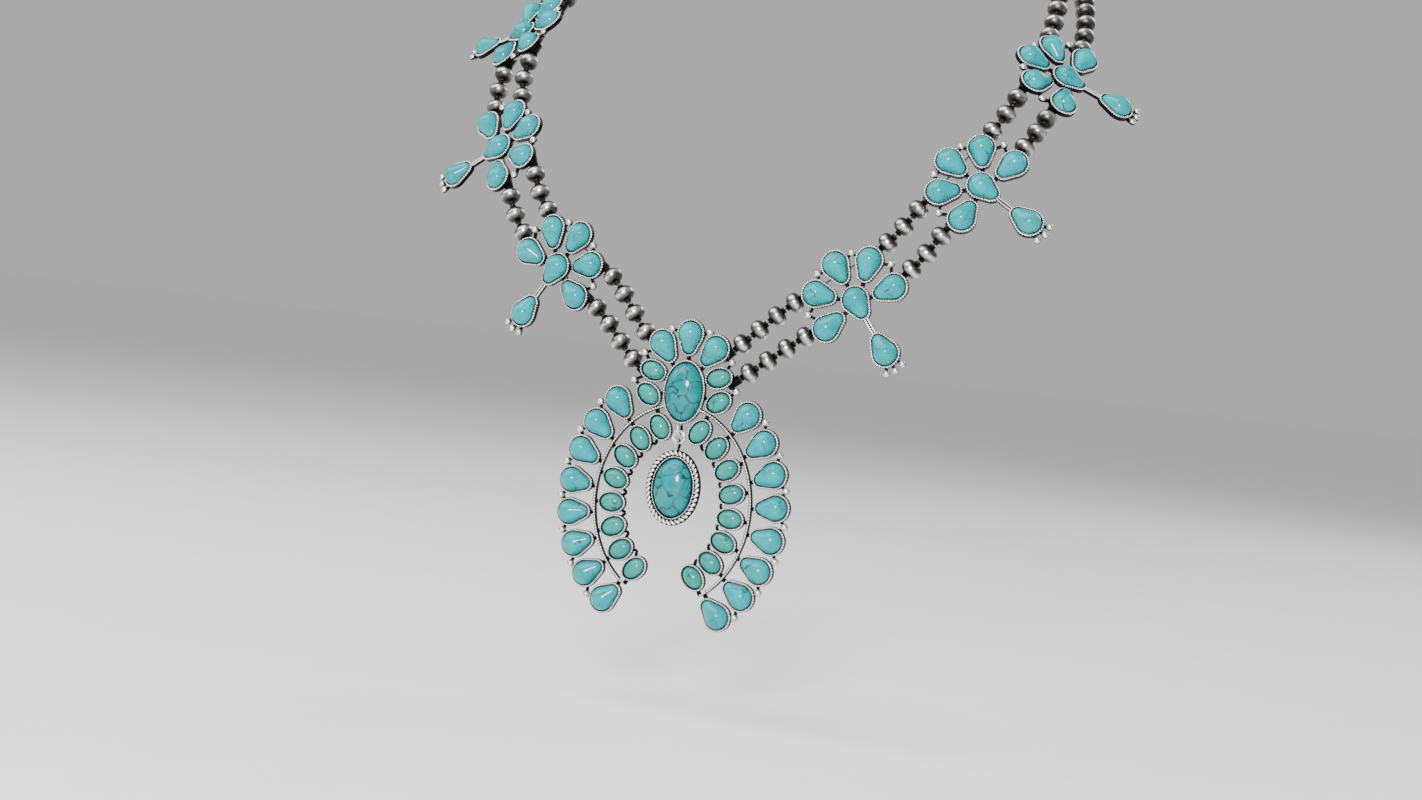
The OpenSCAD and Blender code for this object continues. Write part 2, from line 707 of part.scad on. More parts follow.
naja_frame();
naja_center_stone();
naja_crown_pear_stones();
naja_crown_oval_stones();
naja_outer_stones(-1);  // naja_outer_stones_left
naja_outer_stones(1);  // naja_outer_stones_right
naja_inner_stones(-1);  // naja_inner_stones_left
naja_inner_stones(1);  // naja_inner_stones_right
drop_ring();
drop_frame();
drop_stone();
blossom_frame(-1, 1);  // blossom_left_1_frame
blossom_center_stone(-1, 1);  // blossom_left_1_center_stone
blossom_petal_stones(-1, 1);  // blossom_left_1_petal_stones
blossom_drop_stone(-1, 1);  // blossom_left_1_drop_stone
blossom_frame(-1, 2);  // blossom_left_2_frame
blossom_center_stone(-1, 2);  // blossom_left_2_center_stone
blossom_petal_stones(-1, 2);  // blossom_left_2_petal_stones
blossom_drop_stone(-1, 2);  // blossom_left_2_drop_stone
blossom_frame(-1, 3);  // blossom_left_3_frame
blossom_center_stone(-1, 3);  // blossom_left_3_center_stone
blossom_petal_stones(-1, 3);  // blossom_left_3_petal_stones
blossom_drop_stone(-1, 3);  // blossom_left_3_drop_stone
blossom_frame(1, 1);  // blossom_right_1_frame
blossom_center_stone(1, 1);  // blossom_right_1_center_stone
blossom_petal_stones(1, 1);  // blossom_right_1_petal_stones
blossom_drop_stone(1, 1);  // blossom_right_1_drop_stone
blossom_frame(1, 2);  // blossom_right_2_frame
blossom_center_stone(1, 2);  // blossom_right_2_center_stone
blossom_petal_stones(1, 2);  // blossom_right_2_petal_stones
blossom_drop_stone(1, 2);  // blossom_right_2_drop_stone
blossom_frame(1, 3);  // blossom_right_3_frame
blossom_center_stone(1, 3);  // blossom_right_3_center_stone
blossom_petal_stones(1, 3);  // blossom_right_3_petal_stones
blossom_drop_stone(1, 3);  // blossom_right_3_drop_stone
beads(-1, true, [0, 1, 2]);  // beads_left_upper_front
beads(-1, true, [3]);  // beads_left_upper_back
beads(-1, false, [0, 1, 2]);  // beads_left_lower_front
beads(-1, false, [3]);  // beads_left_lower_back
beads(1, true, [0, 1, 2]);  // beads_right_upper_front
beads(1, true, [3]);  // beads_right_upper_back
beads(1, false, [0, 1, 2]);  // beads_right_lower_front
beads(1, false, [3]);  // beads_right_lower_back
thread(-1, true);  // thread_left_upper
thread(-1, false);  // thread_left_lower
thread(1, true);  // thread_right_upper
thread(1, false);  // thread_right_lower
clasp();
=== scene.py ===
import math

import bmesh
import bpy
import numpy as np
from mathutils import Matrix, Vector
from mathutils.geometry import convex_hull_2d


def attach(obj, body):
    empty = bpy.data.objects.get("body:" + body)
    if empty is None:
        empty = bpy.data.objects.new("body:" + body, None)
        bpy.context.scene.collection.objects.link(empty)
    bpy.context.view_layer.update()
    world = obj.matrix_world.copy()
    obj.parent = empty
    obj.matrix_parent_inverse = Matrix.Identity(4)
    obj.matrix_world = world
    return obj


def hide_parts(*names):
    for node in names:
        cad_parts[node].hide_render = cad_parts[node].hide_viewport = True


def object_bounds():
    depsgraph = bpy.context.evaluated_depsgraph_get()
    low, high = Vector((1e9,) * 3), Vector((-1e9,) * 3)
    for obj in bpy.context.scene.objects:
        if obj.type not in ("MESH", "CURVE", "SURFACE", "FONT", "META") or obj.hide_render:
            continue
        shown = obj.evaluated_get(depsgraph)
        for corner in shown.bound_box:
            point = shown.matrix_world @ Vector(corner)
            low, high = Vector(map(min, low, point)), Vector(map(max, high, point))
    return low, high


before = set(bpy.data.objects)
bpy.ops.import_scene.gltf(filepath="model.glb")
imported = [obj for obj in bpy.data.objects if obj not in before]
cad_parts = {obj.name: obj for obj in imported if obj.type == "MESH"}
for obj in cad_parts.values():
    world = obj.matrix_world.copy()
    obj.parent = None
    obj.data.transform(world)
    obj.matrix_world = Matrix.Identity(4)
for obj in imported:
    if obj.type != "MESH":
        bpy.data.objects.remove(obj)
cad_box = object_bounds()

# Camera. It stands in front of the necklace, towards the right strand and level with the crown of
# the pendant, and leans a little to one side.
sensor_width = 36
focal_length = 57
camera_place = Vector((0.2840, -0.8215, -0.1587))
camera_turn, camera_rise, camera_roll = (math.radians(a) for a in (21.93, 1.27, 6.7))
forward = Vector((-math.sin(camera_turn) * math.cos(camera_rise),
                  math.cos(camera_turn) * math.cos(camera_rise), -math.sin(camera_rise)))
level_right = Vector((math.cos(camera_turn), math.sin(camera_turn), 0))
level_up = level_right.cross(forward)
right = math.cos(camera_roll) * level_right + math.sin(camera_roll) * level_up
up = -math.sin(camera_roll) * level_right + math.cos(camera_roll) * level_up
lens = bpy.data.cameras.new("camera")
lens.sensor_width = sensor_width
lens.lens = focal_length
camera = bpy.data.objects.new("camera", lens)
bpy.context.scene.collection.objects.link(camera)
camera.matrix_world = Matrix((
    (right.x, up.x, -forward.x, camera_place.x),
    (right.y, up.y, -forward.y, camera_place.y),
    (right.z, up.z, -forward.z, camera_place.z),
    (0, 0, 0, 1)))
bpy.context.scene.camera = camera

# Stones. Each is a polished cabochon of turquoise, or of the greener kind in the small ovals, cut
# flat below and domed above, with fine dark veins that run through the stone. It is set into its
# cup, so its flat base also says where the cup is and which way the cup faces.


class Look:
    """A material and its nodes, with short calls to add and join them."""

    def __init__(self, name, **values):
        self.material = bpy.data.materials.new(name)
        self.material.use_nodes = True
        self.tree = self.material.node_tree
        self.shader = self.tree.nodes["Principled BSDF"]
        for key, value in values.items():
            self.shader.inputs[key.replace("_", " ")].default_value = value

    def node(self, kind, inputs=None, **settings):
        made = self.tree.nodes.new("ShaderNode" + kind)
        for key, value in settings.items():
            setattr(made, key, value)
        for key, value in (inputs or {}).items():
            if isinstance(value, bpy.types.NodeSocket):
                self.tree.links.new(value, made.inputs[key])
            else:
                made.inputs[key].default_value = value
        return made

    def coordinates(self, output="Object"):
        return self.node("TexCoord").outputs[output]

    def noise(self, vector, scale, detail=3.0, roughness=0.5):
        made = self.node("TexNoise", {"Vector": vector, "Scale": scale, "Detail": detail,
                                      "Roughness": roughness})
        return made.outputs["Fac"]

    def math(self, operation, a, b=0.0):
        return self.node("Math", {0: a, 1: b}, operation=operation).outputs[0]

    def fade(self, value, low, high, to_low=0.0, to_high=1.0):
        made = self.node("MapRange", {"Value": value, "From Min": low, "From Max": high,
                                      "To Min": to_low, "To Max": to_high})
        return made.outputs["Result"]

    def mix(self, factor, a, b, blend="MIX"):
        made = self.node("Mix", data_type="RGBA", blend_type=blend)
        for socket, value in ((made.inputs[0], factor), (made.inputs[6], a), (made.inputs[7], b)):
            if isinstance(value, bpy.types.NodeSocket):
                self.tree.links.new(value, socket)
            else:
                socket.default_value = (*value, 1) if isinstance(value, tuple) else value
        return made.outputs[2]

    def finish(self, color, roughness=None, height=None, relief=0.0):
        links = self.tree.links
        links.new(color, self.shader.inputs["Base Color"])
        if roughness is not None:
            links.new(roughness, self.shader.inputs["Roughness"])
        if height is not None:
            bump = self.node("Bump", {"Height": height, "Strength": 1.0, "Distance": relief})
            links.new(bump.outputs["Normal"], self.shader.inputs["Normal"])
        return self.material


def turquoise(name, pale, deep, vein, vein_cell, vein_width, vein_share):
    look = Look(name, Specular_IOR_Level=0.2, Coat_Weight=0.22, Coat_Roughness=0.07)
    place = look.coordinates()
    drift = look.node("TexNoise", {"Vector": place, "Scale": 150.0, "Detail": 5.0,
                                   "Roughness": 0.52})
    bent = look.node("VectorMath", {0: place}, operation="ADD")
    shift = look.node("VectorMath", {0: drift.outputs["Color"]}, operation="SCALE")
    shift.inputs["Scale"].default_value = vein_cell * 1.15
    look.tree.links.new(shift.outputs[0], bent.inputs[1])
    cracks = look.node("TexVoronoi", {"Vector": bent.outputs[0], "Scale": 1 / vein_cell},
                       feature="DISTANCE_TO_EDGE").outputs["Distance"]
    breadth = look.fade(look.noise(place, 310.0, 3.0), 0.3, 0.7, 0.35, 1.5)
    reach = vein_width / vein_cell
    line = look.fade(look.math("DIVIDE", cracks, breadth), 0.3 * reach, reach, 1.0, 0.0)
    hidden = 0.62 - vein_share * 0.3
    full = 0.68 - vein_share * 0.3
    shown = look.fade(look.noise(place, 120.0, 2.0), hidden, full)
    veins = look.math("MULTIPLY", line, shown)
    cloud = look.fade(look.noise(place, 260.0, 5.0, 0.6), 0.35, 0.7)
    stone_tone = look.fade(look.noise(place, 75.0, 1.0), 0.35, 0.65)
    grain = look.fade(look.noise(place, 2600.0, 3.0, 0.7), 0.3, 0.75)
    color = look.mix(cloud, pale, deep)
    darkest = tuple(0.72 * c for c in deep)
    palest = tuple(min(1, 1.4 * c) for c in pale)
    color = look.mix(look.math("MULTIPLY", stone_tone, 0.35), color, darkest)
    color = look.mix(look.math("MULTIPLY", grain, 0.1), color, palest)
    color = look.mix(look.math("MULTIPLY", veins, 0.95), color, vein)
    dull = look.math("ADD", veins, look.math("MULTIPLY", grain, 0.2))
    rough = look.fade(dull, 0.0, 1.0, 0.13, 0.4)
    height = look.math("SUBTRACT", look.math("MULTIPLY", grain, 0.1), veins)
    return look.finish(color, rough, height, relief=0.00003)


sky_turquoise = turquoise(
    "turquoise of the pear stones", pale=(0.0, 0.31, 0.33), deep=(0.0, 0.21, 0.24),
    vein=(0.003, 0.075, 0.07), vein_cell=0.0085, vein_width=0.00024, vein_share=0.27)
veined_turquoise = turquoise(
    "veined turquoise of the large ovals", pale=(0.0, 0.22, 0.235), deep=(0.0, 0.14, 0.155),
    vein=(0.006, 0.03, 0.024), vein_cell=0.0064, vein_width=0.00026, vein_share=1.5)
green_turquoise = turquoise(
    "green turquoise of the small ovals", pale=(0.022, 0.27, 0.235), deep=(0.006, 0.195, 0.17),
    vein=(0.006, 0.06, 0.045), vein_cell=0.006, vein_width=0.0002, vein_share=0.25)


def dress(node, material):
    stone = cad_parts[node]
    stone.data.materials.clear()
    stone.data.materials.append(material)


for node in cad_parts:
    if node in ("naja_center_stone", "drop_stone"):
        dress(node, veined_turquoise)
    elif node.startswith(("naja_inner_stones", "naja_crown_oval")):
        dress(node, green_turquoise)
    elif "stone" in node:
        dress(node, sky_turquoise)


def loose_parts(node):
    """The separate closed shapes of a CAD node, each as its points and its triangles."""
    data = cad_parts[node].data
    places = np.empty(len(data.vertices) * 3, np.float32)
    data.vertices.foreach_get("co", places)
    data.calc_loop_triangles()
    triangles = np.empty(len(data.loop_triangles) * 3, np.int32)
    data.loop_triangles.foreach_get("vertices", triangles)
    points, index = np.unique(np.round(places.reshape(-1, 3).astype(float), 6), axis=0,
                              return_inverse=True)
    triangles = index.reshape(-1)[triangles].reshape(-1, 3)
    label = np.arange(len(points))
    while True:
        spread = label.copy()
        lowest = spread[triangles].min(axis=1)
        for corner in range(3):
            np.minimum.at(spread, triangles[:, corner], lowest)
        spread = spread[spread]
        if (spread == label).all():
            break
        label = spread
    parts = []
    for first in np.unique(label[triangles[:, 0]]):
        own = triangles[label[triangles[:, 0]] == first]
        used, local = np.unique(own, return_inverse=True)
        parts.append((points[used], local.reshape(-1, 3)))
    return parts


class Setting:
    """Where one stone's cup is: its outline at the stone's base, and the way it faces."""

    steps = 96

    def __init__(self, points, triangles):
        a, b, c = (points[triangles[:, k]] for k in range(3))
        normals = np.cross(b - a, c - a)
        areas = np.linalg.norm(normals, axis=1)
        kept = areas > 0
        directions = np.round(normals[kept] / areas[kept, None], 2)
        ways, group = np.unique(directions, axis=0, return_inverse=True)
        flattest = np.argmax(np.bincount(group.reshape(-1), weights=areas[kept]))
        flat = normals[kept][group.reshape(-1) == flattest].sum(axis=0)
        self.out = -flat / np.linalg.norm(flat)
        self.base = (points @ self.out).min()
        across = np.cross(self.out, (0, 0, 1) if abs(self.out[2]) < 0.9 else (1, 0, 0))
        self.across = across / np.linalg.norm(across)
        self.along = np.cross(self.out, self.across)
        flat_points = np.stack([points @ self.across, points @ self.along], axis=1)
        hull = flat_points[convex_hull_2d([tuple(p) for p in flat_points])]
        ring = np.vstack([hull, hull[:1]])
        lengths = np.concatenate([[0], np.cumsum(np.linalg.norm(np.diff(ring, axis=0), axis=1))])
        at = np.linspace(0, lengths[-1], self.steps, endpoint=False)
        self.ring = np.stack([np.interp(at, lengths, ring[:, k]) for k in range(2)], axis=1)
        step = np.roll(self.ring, -1, axis=0) - np.roll(self.ring, 1, axis=0)
        side = np.stack([step[:, 1], -step[:, 0]], axis=1)
        side /= np.linalg.norm(side, axis=1)[:, None]
        if ((self.ring - self.ring.mean(axis=0)) * side).sum() < 0:
            side = -side
        self.side = side

    def loop(self, outwards, height):
        """The outline grown by a distance, at a height over the stone's base, as 3-D points."""
        flat = self.ring + self.side * outwards
        return (flat[:, :1] * self.across + flat[:, 1:] * self.along
                + self.out * (self.base + height))


settings = {node: [Setting(*part) for part in loose_parts(node)]
            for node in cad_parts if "stone" in node}
settings_of = {"naja": [], "drop": settings["drop_stone"]}
for node, found in settings.items():
    if node.startswith("naja"):
        settings_of["naja"] += found
    elif node.startswith("blossom"):
        settings_of.setdefault("_".join(node.split("_")[:3]), []).extend(found)
body_of = {group: "drop" if group == "drop" else "necklace" for group in settings_of}

# Silver frames of the naja, the blossoms and the drop. Cups, bridges, balls and tubes are soldered
# together and the front is blackened, then rubbed, so that only what stands up is bright. The
# flat back keeps its plain worn silver.
stone_seat = 0.0009
cups_rubbed = (0.00141, 0.0015)
drop_rubbed = (0.0021, 0.0024)


def rubbed_silver(name, out, base, low, high, worn=0.55, bright_back=0.5):
    """Silver that is black below one height over the back of a piece and bright above another."""
    look = Look(name, Metallic=1.0)
    place = look.coordinates()
    level = look.node("VectorMath", {0: place, 1: tuple(out)},
                      operation="DOT_PRODUCT").outputs["Value"]
    facing = look.node("VectorMath", {0: look.coordinates("Normal"), 1: tuple(out)},
                       operation="DOT_PRODUCT").outputs["Value"]
    uneven = look.math("MULTIPLY", look.noise(place, 900.0, 3.0), 0.0001)
    raised = look.fade(look.math("ADD", level, uneven), base + low, base + high)
    bright = look.math("MAXIMUM", raised, look.fade(facing, -0.2, -0.7, 0.0, bright_back))
    wear = look.fade(look.noise(place, 420.0, 5.0, 0.65), 0.3, 0.7, worn, 1.0)
    bright = look.math("MULTIPLY", bright, wear)
    color = look.mix(bright, (0.008, 0.008, 0.008), (0.92, 0.90, 0.87))
    scratches = look.noise(place, 3200.0, 4.0, 0.7)
    rough = look.math("ADD", look.fade(bright, 0.0, 1.0, 0.42, 0.2),
                      look.math("MULTIPLY", scratches, 0.12))
    return look.finish(color, rough, scratches, relief=0.000015)


for group, found in settings_of.items():
    rubbed = drop_rubbed if group == "drop" else cups_rubbed
    dress(group + "_frame", rubbed_silver("rubbed silver of the " + group.replace("_", " "),
                                          found[0].out, found[0].base - stone_seat, *rubbed))

# Bezel strips. A thin strip of silver stands round each stone and is pushed over its edge. Its
# near-black colour is partly the strip's own blackening and partly painted shade of the gap between
# stone and beaded wire, and it draws a dark line round every stone.

# the distance outwards from the stone, and the height over its base, in millimetres
strip_profile = ((0.47, 0.35), (0.47, 0.9), (0.38, 1.04), (0.14, 1.04), (0.03, 0.9), (0.03, 0.35))


def blackened_silver_and_painted_shade(name):
    look = Look(name, Metallic=1.0)
    place = look.coordinates()
    worn = look.fade(look.noise(place, 1500.0, 4.0, 0.7), 0.5, 0.85, 0.0, 0.5)
    # The near-black colour is partly blackened silver and partly painted shade of the gap beside
    # the stone.
    color = look.mix(worn, (0.012, 0.012, 0.012), (0.22, 0.21, 0.20))
    rough = look.fade(worn, 0.0, 0.5, 0.5, 0.3)
    return look.finish(color, rough, look.noise(place, 2400.0), relief=0.00002)


black_silver_and_painted_shade = blackened_silver_and_painted_shade("blackened silver")


def new_object(name, mesh):
    made = bpy.data.objects.new(name, mesh)
    bpy.context.scene.collection.objects.link(made)
    return made


def closed_sweep(name, rings_of_points, material):
    """One mesh of closed tubes, each given as its profile's loops in order round the profile."""
    points, faces = [], []
    for loops in rings_of_points:
        first, many, steps = len(points), len(loops), len(loops[0])
        for loop in loops:
            points += [tuple(p) for p in loop]
        for j in range(many):
            k = (j + 1) % many
            for i in range(steps):
                n = (i + 1) % steps
                faces.append((first + j * steps + i, first + j * steps + n,
                              first + k * steps + n, first + k * steps + i))
    mesh = bpy.data.meshes.new(name)
    mesh.from_pydata(points, [], faces)
    mesh.materials.append(material)
    return new_object(name, mesh)


def outward(made):
    """Turns the faces of closed shapes outwards."""
    shape = bmesh.new()
    shape.from_mesh(made.data)
    bmesh.ops.recalc_face_normals(shape, faces=shape.faces)
    shape.to_mesh(made.data)
    shape.free()


def finished(made, group_body):
    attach(made, group_body)


for group, found in settings_of.items():
    strips = closed_sweep(
        group + "_bezel_strips",
        [[setting.loop(outwards / 1000, height / 1000) for outwards, height in strip_profile]
         for setting in found],
        black_silver_and_painted_shade)
    outward(strips)
    finished(strips, body_of[group])

# Beaded bezel wires. Fine wire rolled into a row of small beads lies round each cup on its step,
# soldered down, and its rubbed tops make the bright dotted outline of every stone.
bezel_bead_r = 0.00035
bezel_bead_pitch = 0.00086
bezel_core_r = bezel_bead_r * 0.35
bezel_wire_out = 0.0006
bezel_wire_height = 0.0006
bezel_rub_half = 0.0001
wire_worn = 0.8


class Grower:
    """A tree of geometry nodes with named inputs, built step by step."""

    kinds = {"VALUE": "NodeSocketFloat", "INT": "NodeSocketInt",
             "MATERIAL": "NodeSocketMaterial", "OBJECT": "NodeSocketObject"}

    def __init__(self, name, **inputs):
        self.tree = bpy.data.node_groups.new(name, "GeometryNodeTree")
        self.tree.interface.new_socket("Geometry", in_out="INPUT", socket_type="NodeSocketGeometry")
        for key, kind in inputs.items():
            self.tree.interface.new_socket(key.replace("_", " "), in_out="INPUT",
                                           socket_type=self.kinds[kind])
        self.tree.interface.new_socket("Geometry", in_out="OUTPUT",
                                       socket_type="NodeSocketGeometry")
        self.given = self.tree.nodes.new("NodeGroupInput").outputs
        self.result = self.tree.nodes.new("NodeGroupOutput")

    def node(self, kind, inputs=None, **settings):
        made = self.tree.nodes.new(kind)
        for key, value in settings.items():
            setattr(made, key, value)
        for key, value in (inputs or {}).items():
            if isinstance(value, bpy.types.NodeSocket):
                self.tree.links.new(value, made.inputs[key])
            else:
                made.inputs[key].default_value = value
        return made.outputs

    def finish(self, geometry):
        real = self.node("GeometryNodeRealizeInstances", {"Geometry": geometry})["Geometry"]
        real = self.node("GeometryNodeSetShadeSmooth", {"Geometry": real})["Geometry"]
        real = self.node("GeometryNodeSetMaterial",
                         {"Geometry": real, "Material": self.given["Material"]})["Geometry"]
        self.tree.links.new(real, self.result.inputs["Geometry"])
        return self.tree


def grown(name, mesh, tree, **values):
    """A plain mesh object made by a tree from a mesh of points or lines."""
    made = new_object(name, mesh)
    modifier = made.modifiers.new(tree.name, "NODES")
    modifier.node_group = tree
    for item in tree.interface.items_tree:
        key = item.name.replace(" ", "_")
        if item.in_out == "INPUT" and key in values:
            modifier[item.identifier] = values[key]
    bpy.context.view_layer.update()
    depsgraph = bpy.context.evaluated_depsgraph_get()
    result = bpy.data.meshes.new_from_object(made.evaluated_get(depsgraph), depsgraph=depsgraph)
    made.modifiers.clear()
    made.data = result
    return made


def beaded_wire_tree():
    grower = Grower("beaded wire", Pitch="VALUE", Bead_radius="VALUE", Core_radius="VALUE",
                    Material="MATERIAL")
    line = grower.node("GeometryNodeMeshToCurve", {"Mesh": grower.given["Geometry"]})["Curve"]
    spaced = grower.node("GeometryNodeResampleCurve", {
        "Curve": line, "Length": grower.given["Pitch"]}, mode="LENGTH")["Curve"]
    bead = grower.node("GeometryNodeMeshIcoSphere", {
        "Subdivisions": 2, "Radius": grower.given["Bead radius"]})["Mesh"]
    beads = grower.node("GeometryNodeInstanceOnPoints", {
        "Points": spaced, "Instance": bead})["Instances"]
    profile = grower.node("GeometryNodeCurvePrimitiveCircle", {
        "Resolution": 5, "Radius": grower.given["Core radius"]})["Curve"]
    core = grower.node("GeometryNodeCurveToMesh", {
        "Curve": spaced, "Profile Curve": profile, "Fill Caps": True})["Mesh"]
    joined = grower.tree.nodes.new("GeometryNodeJoinGeometry")
    grower.tree.links.new(beads, joined.inputs[0])
    grower.tree.links.new(core, joined.inputs[0])
    return grower.finish(joined.outputs[0])


beaded_wire = beaded_wire_tree()


def line_mesh(name, lines, closed):
    points, edges = [], []
    for line in lines:
        first = len(points)
        points += [tuple(p) for p in line]
        many = len(line)
        edges += [(first + i, first + (i + 1) % many) for i in range(many if closed else many - 1)]
    mesh = bpy.data.meshes.new(name)
    mesh.from_pydata(points, edges, [])
    return mesh


wire_silver = {}
for group, found in settings_of.items():
    middle = stone_seat + bezel_wire_height
    wire_silver[group] = rubbed_silver(
        "rubbed beaded wires of the " + group.replace("_", " "), found[0].out,
        found[0].base - stone_seat, middle - bezel_rub_half, middle + bezel_rub_half,
        worn=wire_worn, bright_back=0.0)
    wires = grown(group + "_beaded_bezel_wires",
                  line_mesh("lines", [setting.loop(bezel_wire_out, bezel_wire_height)
                                      for setting in found], True),
                  beaded_wire, Pitch=bezel_bead_pitch, Bead_radius=bezel_bead_r,
                  Core_radius=bezel_core_r, Material=wire_silver[group])
    finished(wires, body_of[group])

# Dividing wire of the naja. A wire of somewhat larger beads lies between the two rows of stones
# and runs down each side of the horseshoe from the large oval's cup.
wire_half = (0.0277, 0.0326)
wire_center = (0.0, -0.1391, -0.2106)
wire_angles = (82.0, -59.5)
wire_points = 90
wire_level = 0.0013
row_bead_r = 0.00042
row_bead_pitch = 0.00095
row_core_r = 0.0002

wire_lines = []
for side in (-1, 1):
    turns = np.radians(np.linspace(*wire_angles, wire_points))
    wire_lines.append([(wire_center[0] + side * wire_half[0] * math.cos(t),
                        wire_center[1] - wire_level,
                        wire_center[2] + wire_half[1] * math.sin(t)) for t in turns])
row_wire = grown("naja_dividing_wire", line_mesh("lines", wire_lines, False), beaded_wire,
                 Pitch=row_bead_pitch, Bead_radius=row_bead_r, Core_radius=row_core_r,
                 Material=wire_silver["naja"])
finished(row_wire, "necklace")

# Rope edge of the drop. Two silver wires are twisted together and bent round the cup, and the
# black in the grooves leaves a row of slanting bright strokes.
rope_strand_r = 0.0005
rope_turn_r = 0.00054
rope_lay = 0.0032
rope_out = 0.0019
rope_height = 0.0005
rope_step = 0.0003
rope_sides = 8
rope_rubbed = (0.0019, 0.0021)


def twisted_tree():
    """Sweeps strands that wind round a closed or open line, by the length along it."""
    grower = Grower("twisted strands", Step="VALUE", Strand_radius="VALUE", Turn_radius="VALUE",
                    Turns="VALUE", Strands="INT", Sides="INT", Material="MATERIAL")
    given = grower.given
    line = grower.node("GeometryNodeMeshToCurve", {"Mesh": given["Geometry"]})["Curve"]
    line = grower.node("GeometryNodeResampleCurve", {"Curve": line, "Length": given["Step"]},
                       mode="LENGTH")["Curve"]
    copies = grower.node("GeometryNodeDuplicateElements", {
        "Geometry": line, "Amount": given["Strands"]}, domain="SPLINE")
    share = grower.node("ShaderNodeMath", {0: copies["Duplicate Index"], 1: given["Strands"]},
                        operation="DIVIDE")[0]
    along = grower.node("GeometryNodeSplineParameter")["Factor"]
    turned = grower.node("ShaderNodeMath", {0: along, 1: given["Turns"]}, operation="MULTIPLY")[0]
    turned = grower.node("ShaderNodeMath", {0: turned, 1: share}, operation="ADD")[0]
    angle = grower.node("ShaderNodeMath", {0: turned, 1: 2 * math.pi}, operation="MULTIPLY")[0]
    tangent = grower.node("GeometryNodeInputTangent")[0]
    normal = grower.node("GeometryNodeInputNormal")[0]
    aside = grower.node("ShaderNodeVectorRotate", {
        "Vector": normal, "Axis": tangent, "Angle": angle}, rotation_type="AXIS_ANGLE")[0]
    shift = grower.node("ShaderNodeVectorMath", {0: aside, "Scale": given["Turn radius"]},
                        operation="SCALE")[0]
    wound = grower.node("GeometryNodeSetPosition", {
        "Geometry": copies["Geometry"], "Offset": shift})["Geometry"]
    profile = grower.node("GeometryNodeCurvePrimitiveCircle", {
        "Resolution": given["Sides"], "Radius": given["Strand radius"]})["Curve"]
    swept = grower.node("GeometryNodeCurveToMesh", {
        "Curve": wound, "Profile Curve": profile, "Fill Caps": True})["Mesh"]
    return grower.finish(swept)


twisted = twisted_tree()
drop_setting = settings["drop_stone"][0]
rope_line = drop_setting.loop(rope_out, rope_height)
rope_length = np.linalg.norm(np.roll(rope_line, -1, axis=0) - rope_line, axis=1).sum()
rope_silver = rubbed_silver("rubbed silver of the rope", drop_setting.out,
                            drop_setting.base - stone_seat, *rope_rubbed,
                            worn=wire_worn, bright_back=0.0)
rope = grown("drop_rope_edge", line_mesh("lines", [rope_line], True), twisted,
             Step=rope_step, Strand_radius=rope_strand_r, Turn_radius=rope_turn_r,
             Turns=float(round(rope_length / rope_lay)), Strands=2, Sides=rope_sides,
             Material=rope_silver)
finished(rope, "drop")

# Bars of the blossoms' drops. Two round wires are soldered side by side on each bar, from the
# middle stone's cup to the drop's, and the groove between them stays black.
bar_wire_r = 0.00026
bar_wire_apart = 0.00088
bar_wire_height = 0.0004
bar_wire_step = 0.001
bar_wire_sides = 10
cup_reach = 0.00085


def bright_silver(name, dark_share, tone=(0.93, 0.91, 0.87)):
    look = Look(name, Metallic=1.0)
    place = look.coordinates()
    tarnish = look.fade(look.noise(place, 700.0, 4.0, 0.65), 0.5, 0.75, 0.0, dark_share)
    color = look.mix(tarnish, tone, (0.16, 0.15, 0.145))
    rough = look.fade(look.noise(place, 2500.0, 3.0, 0.6), 0.3, 0.7, 0.16, 0.32)
    return look.finish(color, rough, look.noise(place, 2600.0), relief=0.00001)


bar_silver = bright_silver("rubbed silver of the bars", dark_share=0.5)
for group, found in settings_of.items():
    if not group.startswith("blossom"):
        continue
    above = settings[group + "_center_stone"][0].loop(cup_reach, bar_wire_height)
    below = settings[group + "_drop_stone"][0].loop(cup_reach, bar_wire_height)
    way = below.mean(axis=0) - above.mean(axis=0)
    way /= np.linalg.norm(way)
    sideways = np.cross(found[0].out, way)
    middle = below.mean(axis=0)
    start, end = ((above - middle) @ way).max(), ((below - middle) @ way).min()
    lines = [[middle + way * at + sideways * side * bar_wire_apart / 2 for at in (start, end)]
             for side in (-1, 1)]
    bars = grown(group + "_bar_wires", line_mesh("lines", lines, False), twisted,
                 Step=bar_wire_step, Strand_radius=bar_wire_r, Turn_radius=0.0, Turns=0.0,
                 Strands=1, Sides=bar_wire_sides, Material=bar_silver)
    finished(bars, "necklace")

# Ring of the drop. It hangs in the crown's eye and carries the drop's. Its round wire is plain
# bright silver, worn smooth where it rubs.
dress("drop_ring", bright_silver("worn silver of the ring", dark_share=0.4))

# Beads. Each is pressed from thin sheet as two shallow saucers, soldered rim to rim round the
# middle, with a short collar at each hole. Their colour is blackened silver that grows darker
# towards the holes, partly as blackening and partly as painted shade where neighbouring beads meet,
# and bright round the widest part, partly from rubbing and partly as a painted highlight.
bead_r = 0.00345
bead_body_half = 0.00245
bead_half = 0.00325
bead_hole_r = 0.0006
bead_collar_r = 0.0011
bead_rim_half = 0.0001
bead_rim_out = 0.004
bead_sides = 24
bead_slopes = (-78, -62, -46, -30, -16, -5.5)


